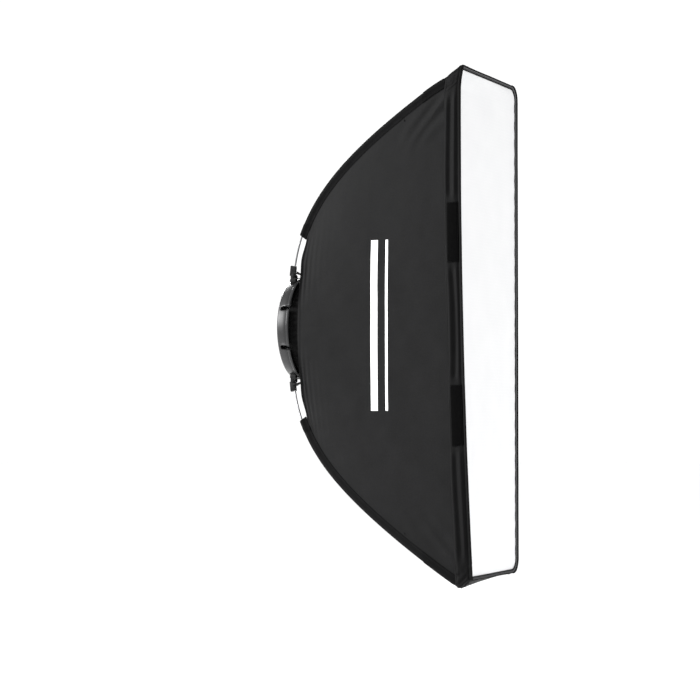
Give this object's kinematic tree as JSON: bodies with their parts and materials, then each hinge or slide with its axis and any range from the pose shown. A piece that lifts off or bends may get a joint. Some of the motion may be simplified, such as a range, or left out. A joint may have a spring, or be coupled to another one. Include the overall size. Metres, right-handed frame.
{
  "type": "strip softbox",
  "caption": "Tall fabric strip light modifier with bent steel rods, a folding speed ring, a bayonet insert, an inner baffle and a white front diffuser.",
  "frame": {"origin": "centre of the bayonet insert's rear seat, where the flash head's front meets it", "axes": "+X is the way the light leaves, +Z along the strip's long side, +Y across it"},
  "size_m": [0.4045, 0.3134, 0.9184],
  "materials": {
    "insert_metal": "satin machined",
    "ring_metal": "satin black anodised",
    "bracket_metal": "semi-gloss black",
    "pin_steel": "plain",
    "lever_plastic": "matte black",
    "rod_steel": "plain spring steel",
    "cap_rubber": "matte",
    "panel_fabric": "fine plain weave, black outside",
    "webbing": "black tape and webbing",
    "hook_tape": "black loop tape",
    "binding_tape": "dark grey tape",
    "diffuser_fabric": "white translucent cloth"
  },
  "bodies": {
    "insert": {"bayonet_insert": "insert_metal"},
    "speed_ring": {"speed_ring": "ring_metal", "retaining_ring": "bracket_metal", "rear_skirt_upper": "webbing", "rear_skirt_lower": "webbing", "hinge_bracket_upper_left": "bracket_metal", "hinge_pin_upper_left": "pin_steel", "side_panel_upper_left": "panel_fabric", "side_lip_upper_left": "panel_fabric", "hook_strip_upper_left": "hook_tape", "hinge_bracket_upper_right": "bracket_metal", "hinge_pin_upper_right": "pin_steel", "side_panel_upper_right": "panel_fabric", "side_lip_upper_right": "panel_fabric", "hook_strip_upper_right": "hook_tape", "front_diffuser_upper": "diffuser_fabric", "front_binding_upper": "binding_tape", "inner_baffle_upper": "diffuser_fabric", "hinge_bracket_lower_left": "bracket_metal", "hinge_pin_lower_left": "pin_steel", "side_panel_lower_left": "panel_fabric", "side_lip_lower_left": "panel_fabric", "hook_strip_lower_left": "hook_tape", "hinge_bracket_lower_right": "bracket_metal", "hinge_pin_lower_right": "pin_steel", "side_panel_lower_right": "panel_fabric", "side_lip_lower_right": "panel_fabric", "hook_strip_lower_right": "hook_tape", "front_diffuser_lower": "diffuser_fabric", "front_binding_lower": "binding_tape", "inner_baffle_lower": "diffuser_fabric"},
    "upper_cover": {"end_panel_upper": "panel_fabric", "end_lip_upper": "panel_fabric", "rod_sleeve_upper_left": "webbing", "corner_pocket_upper_left": "webbing", "rod_sleeve_upper_right": "webbing", "corner_pocket_upper_right": "webbing"},
    "lower_cover": {"end_panel_lower": "panel_fabric", "end_lip_lower": "panel_fabric", "rod_sleeve_lower_left": "webbing", "corner_pocket_lower_left": "webbing", "rod_sleeve_lower_right": "webbing", "corner_pocket_lower_right": "webbing"},
    "rod_upper_left": {"rod_holder_upper_left": "bracket_metal", "rod_upper_left": "rod_steel", "rod_cap_upper_left": "cap_rubber"},
    "rod_upper_right": {"rod_holder_upper_right": "bracket_metal", "rod_upper_right": "rod_steel", "rod_cap_upper_right": "cap_rubber"},
    "rod_lower_left": {"rod_holder_lower_left": "bracket_metal", "rod_lower_left": "rod_steel", "rod_cap_lower_left": "cap_rubber"},
    "rod_lower_right": {"rod_holder_lower_right": "bracket_metal", "rod_lower_right": "rod_steel", "rod_cap_lower_right": "cap_rubber"},
    "lever_upper_left": {"release_lever_upper_left": "lever_plastic"},
    "lever_upper_right": {"release_lever_upper_right": "lever_plastic"},
    "lever_lower_left": {"release_lever_lower_left": "lever_plastic"},
    "lever_lower_right": {"release_lever_lower_right": "lever_plastic"}
  },
  "joints": [
    {"name": "ring_turn", "type": "hinge", "parent": "insert", "child": "speed_ring", "pos_m": [0, 0, 0], "axis": [1, 0, 0], "continuous": true},
    {"name": "upper_fold", "type": "hinge", "parent": "speed_ring", "child": "upper_cover", "pos_m": [0.014, 0, 0.0975], "axis": [0, 1, 0], "range_deg": [0, 45], "deforming": ["side_panel_upper_left", "side_panel_upper_right", "side_lip_upper_left", "side_lip_upper_right", "hook_strip_upper_left", "hook_strip_upper_right", "front_diffuser_upper", "front_binding_upper", "inner_baffle_upper", "rear_skirt_upper"]},
    {"name": "lower_fold", "type": "hinge", "parent": "speed_ring", "child": "lower_cover", "pos_m": [0.014, 0, -0.0975], "axis": [0, -1, 0], "range_deg": [0, 45], "deforming": ["side_panel_lower_left", "side_panel_lower_right", "side_lip_lower_left", "side_lip_lower_right", "hook_strip_lower_left", "hook_strip_lower_right", "front_diffuser_lower", "front_binding_lower", "inner_baffle_lower", "rear_skirt_lower"]},
    {"name": "rod_upper_left_fold", "type": "hinge", "parent": "speed_ring", "child": "rod_upper_left", "pos_m": [0.014, 0.0405, 0.0975], "axis": [0, 1, 0], "range_deg": [0, 45]},
    {"name": "rod_upper_right_fold", "type": "hinge", "parent": "speed_ring", "child": "rod_upper_right", "pos_m": [0.014, -0.0405, 0.0975], "axis": [0, 1, 0], "range_deg": [0, 45]},
    {"name": "rod_lower_left_fold", "type": "hinge", "parent": "speed_ring", "child": "rod_lower_left", "pos_m": [0.014, 0.0405, -0.0975], "axis": [0, -1, 0], "range_deg": [0, 45]},
    {"name": "rod_lower_right_fold", "type": "hinge", "parent": "speed_ring", "child": "rod_lower_right", "pos_m": [0.014, -0.0405, -0.0975], "axis": [0, -1, 0], "range_deg": [0, 45]},
    {"name": "lever_upper_left_press", "type": "hinge", "parent": "rod_upper_left", "child": "lever_upper_left", "pos_m": [0.02107, 0.04254, 0.1043], "axis": [0, 0.9577, -0.2878], "range_deg": [0, 8], "stiffness_Nm_per_rad": 0.02, "springref_deg": -4.58},
    {"name": "lever_upper_right_press", "type": "hinge", "parent": "rod_upper_right", "child": "lever_upper_right", "pos_m": [0.02107, -0.04254, 0.1043], "axis": [0, 0.9577, 0.2878], "range_deg": [0, 8], "stiffness_Nm_per_rad": 0.02, "springref_deg": -4.58},
    {"name": "lever_lower_left_press", "type": "hinge", "parent": "rod_lower_left", "child": "lever_lower_left", "pos_m": [0.02107, 0.04254, -0.1043], "axis": [0, -0.9577, -0.2878], "range_deg": [0, 8], "stiffness_Nm_per_rad": 0.02, "springref_deg": -4.58},
    {"name": "lever_lower_right_press", "type": "hinge", "parent": "rod_lower_right", "child": "lever_lower_right", "pos_m": [0.02107, -0.04254, -0.1043], "axis": [0, -0.9577, 0.2878], "range_deg": [0, 8], "stiffness_Nm_per_rad": 0.02, "springref_deg": -4.58}
  ],
  "couplings": [
    {"joint": "rod_upper_left_fold", "follows": "upper_fold", "ratio": 1},
    {"joint": "rod_upper_right_fold", "follows": "upper_fold", "ratio": 1},
    {"joint": "rod_lower_left_fold", "follows": "lower_fold", "ratio": 1},
    {"joint": "rod_lower_right_fold", "follows": "lower_fold", "ratio": 1}
  ]
}
